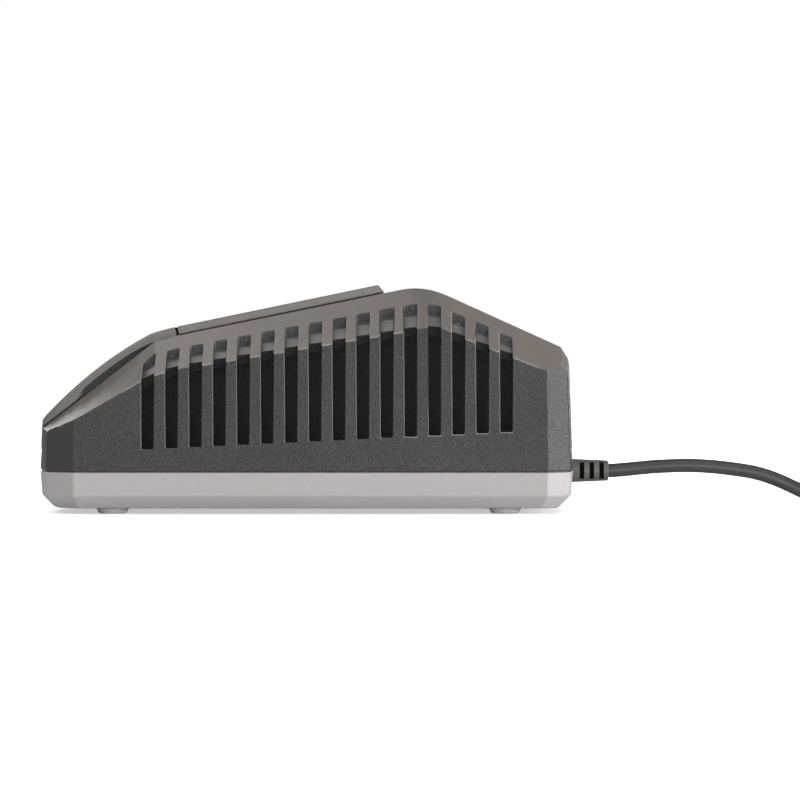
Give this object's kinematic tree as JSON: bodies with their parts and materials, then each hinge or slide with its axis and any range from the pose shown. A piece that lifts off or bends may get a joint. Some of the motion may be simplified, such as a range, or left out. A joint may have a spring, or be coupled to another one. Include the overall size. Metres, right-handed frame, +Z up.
{
  "type": "power tool battery charger",
  "caption": "Slide-on battery charger with a vented dark housing over a light base tray, T-rail dock, fan and mains lead with plug.",
  "frame": {"origin": "centre of the case in plan, on the table plane under the rubber feet", "axes": "+X from the low nose to the rear wall where the mains lead leaves, +Y to the left seen from the nose side looking back, +Z up"},
  "size_m": [0.395, 0.1456, 0.0882],
  "materials": {
    "housing_dark": "satin",
    "cover_dark": "satin",
    "dock_dark": "satin",
    "tray_light": "satin",
    "lens_clear": "gloss",
    "black_plastic": "satin",
    "contact_metal": "satin",
    "screw_steel": "satin",
    "board_green": "satin",
    "ferrite": "matte",
    "winding": "satin",
    "can_sleeve": "gloss",
    "copper_wire": "satin",
    "film_yellow": "satin",
    "fuse_glass": "gloss",
    "relay_blue": "satin",
    "sink_black": "anodised",
    "liner_black": "matte",
    "lead_red": "satin",
    "lead_brown": "satin",
    "cord_black": "satin",
    "foot_grey": "matte"
  },
  "bodies": {
    "charger": {"base_shell": "tray_light", "top_housing": "housing_dark", "nose_cover": "cover_dark", "indicator_lenses": "lens_clear", "dock_insert": "dock_dark", "dock_screws": "screw_steel", "terminal_block": "black_plastic", "terminal_blades": "contact_metal", "circuit_board": "board_green", "board_screws": "screw_steel", "transformer_core": "ferrite", "transformer_winding": "winding", "bulk_capacitors": "can_sleeve", "output_capacitors": "can_sleeve", "filter_choke": "copper_wire", "film_capacitor": "film_yellow", "mains_fuse": "fuse_glass", "output_relay": "relay_blue", "heat_sinks": "sink_black", "power_transistors": "black_plastic", "insulation_sheet": "liner_black", "indicator_board": "board_green", "indicator_leds": "lens_clear", "indicator_cable": "black_plastic", "fan_frame": "black_plastic", "output_leads": "lead_red", "mains_leads": "lead_brown", "cord_clamp": "black_plastic", "clamp_screws": "screw_steel", "housing_screws": "screw_steel", "strain_relief": "cord_black", "cord_lead": "cord_black", "cord_coil": "cord_black", "cord_tail": "cord_black", "plug_body": "cord_black", "plug_pins": "screw_steel", "foot_front_left": "foot_grey", "foot_front_right": "foot_grey", "foot_rear_left": "foot_grey", "foot_rear_right": "foot_grey"},
    "impeller": {"fan_rotor": "black_plastic"}
  },
  "joints": [
    {"name": "fan_spin", "type": "hinge", "parent": "charger", "child": "impeller", "pos_m": [0.024, 0.048, 0.0375], "axis": [0, 1, 0], "continuous": true}
  ]
}
